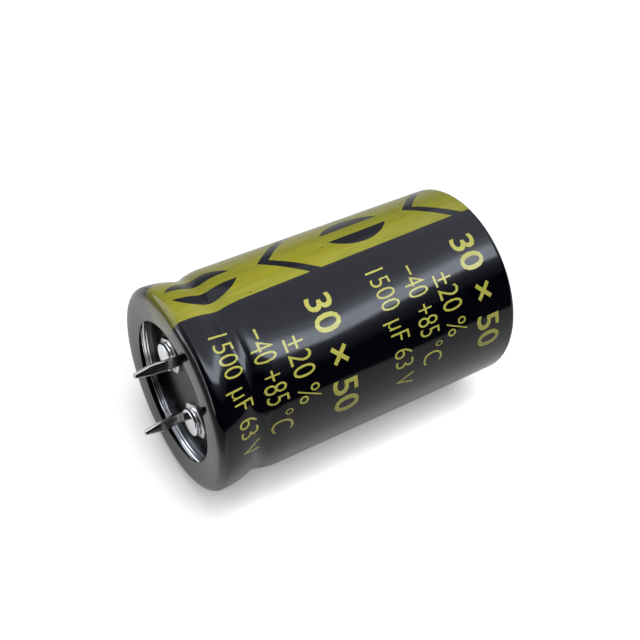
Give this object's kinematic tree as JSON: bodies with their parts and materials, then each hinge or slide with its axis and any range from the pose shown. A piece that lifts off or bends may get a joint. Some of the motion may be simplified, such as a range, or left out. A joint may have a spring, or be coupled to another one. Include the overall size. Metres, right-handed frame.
{
  "type": "snap-in aluminium electrolytic capacitor",
  "caption": "Cylindrical snap-in electrolytic capacitor in a black shrink sleeve, with a rolled neck, riveted solder blades and a gold polarity stripe.",
  "frame": {"origin": "centre of the closed end, in the plane that the capacitor stands on", "axes": "+Z along the can's axis towards the terminals; +X through the negative blade, beside the polarity stripe"},
  "size_m": [0.0304, 0.0304, 0.0548],
  "materials": {
    "sleeve": "glossy black shrink film",
    "stripe_ink": "glossy olive-gold print under film",
    "can_metal": "bright drawn aluminium",
    "seal_rubber": "smooth satin black",
    "phenolic": "brown paper phenolic",
    "terminal_tin": "bright tin plating",
    "rivet_metal": "bright pressed aluminium",
    "washer_metal": "plain aluminium",
    "foil_tab": "matt foil",
    "foil_paper": "edges of foil and paper turns",
    "tape_film": "blue film tape",
    "pressboard": "plain pressboard"
  },
  "bodies": {
    "root": {"sleeve": "sleeve", "polarity_stripe": "stripe_ink", "can": "can_metal", "seal_rubber": "seal_rubber", "deck_plate": "phenolic", "terminal_negative": "terminal_tin", "terminal_positive": "terminal_tin", "rivet_negative": "rivet_metal", "rivet_positive": "rivet_metal", "washer_negative": "washer_metal", "washer_positive": "washer_metal", "cathode_tab": "foil_tab", "anode_tab": "foil_tab", "winding": "foil_paper", "winding_tape": "tape_film", "base_disc": "pressboard"}
  },
  "joints": []
}
